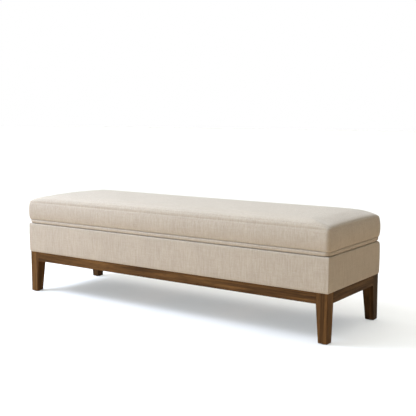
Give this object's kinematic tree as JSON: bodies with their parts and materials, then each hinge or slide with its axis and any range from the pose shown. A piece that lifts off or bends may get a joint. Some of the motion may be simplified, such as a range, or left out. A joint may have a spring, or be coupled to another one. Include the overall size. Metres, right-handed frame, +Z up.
{
  "type": "storage ottoman",
  "caption": "Long upholstered storage bench: walnut frame on four tapered legs, padded box, and a cushioned lid that hinges up at the rear on sliding stays.",
  "frame": {"origin": "middle of the footprint on the floor", "axes": "+X along the bench's length, to the right as seen from the front; front at -Y; +Z up"},
  "size_m": [1.524, 0.452, 0.452],
  "materials": {
    "walnut": "satin stained walnut",
    "frame_wood": "bare hardwood",
    "plywood": "bare plywood",
    "box_linen": "oatmeal linen weave over thin padding",
    "cushion_linen": "oatmeal linen weave",
    "band_linen": "oatmeal linen weave",
    "foam": "open-cell foam",
    "lining": "dark smooth lining cloth",
    "dust_cloth": "black non-woven cloth",
    "glide_plastic": "matte",
    "bumper_rubber": "matte",
    "hinge_steel": "satin",
    "stay_steel": "satin",
    "zinc_fasteners": "zinc plated",
    "screw_steel": "satin"
  },
  "bodies": {
    "base_and_box": {"apron_back": "walnut", "apron_front": "walnut", "apron_left": "walnut", "apron_right": "walnut", "box_cover_back": "box_linen", "box_cover_front": "box_linen", "box_cover_left": "box_linen", "box_cover_right": "box_linen", "box_floor": "plywood", "box_panel_back": "plywood", "box_panel_front": "plywood", "box_panel_left": "plywood", "box_panel_right": "plywood", "corner_block_back_left": "frame_wood", "corner_block_back_right": "frame_wood", "corner_block_front_left": "frame_wood", "corner_block_front_right": "frame_wood", "cross_rail_left": "frame_wood", "cross_rail_right": "frame_wood", "dust_cover": "dust_cloth", "flange_nuts": "zinc_fasteners", "floor_lining": "lining", "foot_glide_back_left": "glide_plastic", "foot_glide_back_right": "glide_plastic", "foot_glide_front_left": "glide_plastic", "foot_glide_front_right": "glide_plastic", "frame_screws": "zinc_fasteners", "hanger_bolts": "zinc_fasteners", "hardware_screws_box": "screw_steel", "hinge_box_leaf_left": "hinge_steel", "hinge_box_leaf_middle": "hinge_steel", "hinge_box_leaf_right": "hinge_steel", "hinge_pin_left": "hinge_steel", "hinge_pin_middle": "hinge_steel", "hinge_pin_right": "hinge_steel", "leg_back_left": "walnut", "leg_back_right": "walnut", "leg_front_left": "walnut", "leg_front_right": "walnut", "rim_bumpers": "bumper_rubber", "stay_track_left": "stay_steel", "stay_track_right": "stay_steel", "wall_lining": "lining"},
    "lid": {"cushion_cover": "cushion_linen", "cushion_foam": "foam", "hardware_screws_lid": "screw_steel", "hinge_lid_leaf_left": "hinge_steel", "hinge_lid_leaf_middle": "hinge_steel", "hinge_lid_leaf_right": "hinge_steel", "lid_board": "plywood", "lid_edge_band": "band_linen", "lid_lining": "lining", "stay_bracket_left": "stay_steel", "stay_bracket_right": "stay_steel", "stay_rivet_left": "stay_steel", "stay_rivet_right": "stay_steel"},
    "stay_arm_left": {"stay_arm_left": "stay_steel", "stay_slide_pin_left": "stay_steel"},
    "stay_arm_right": {"stay_arm_right": "stay_steel", "stay_slide_pin_right": "stay_steel"}
  },
  "joints": [
    {"name": "lid_hinge", "type": "hinge", "parent": "base_and_box", "child": "lid", "pos_m": [0, 0.2225, 0.32], "axis": [-1, 0, 0], "range_deg": [0, 80]},
    {"name": "stay_pivot_left", "type": "hinge", "parent": "lid", "child": "stay_arm_left", "pos_m": [-0.7325, 0.07456, 0.29524], "axis": [1, 0, 0], "range_deg": [0, 160]},
    {"name": "stay_pivot_right", "type": "hinge", "parent": "lid", "child": "stay_arm_right", "pos_m": [0.7325, 0.07456, 0.29524], "axis": [1, 0, 0], "range_deg": [0, 160]}
  ],
  "couplings": [
    {"joint": "stay_pivot_left", "follows": "lid_hinge", "ratio": 2},
    {"joint": "stay_pivot_right", "follows": "lid_hinge", "ratio": 2}
  ]
}
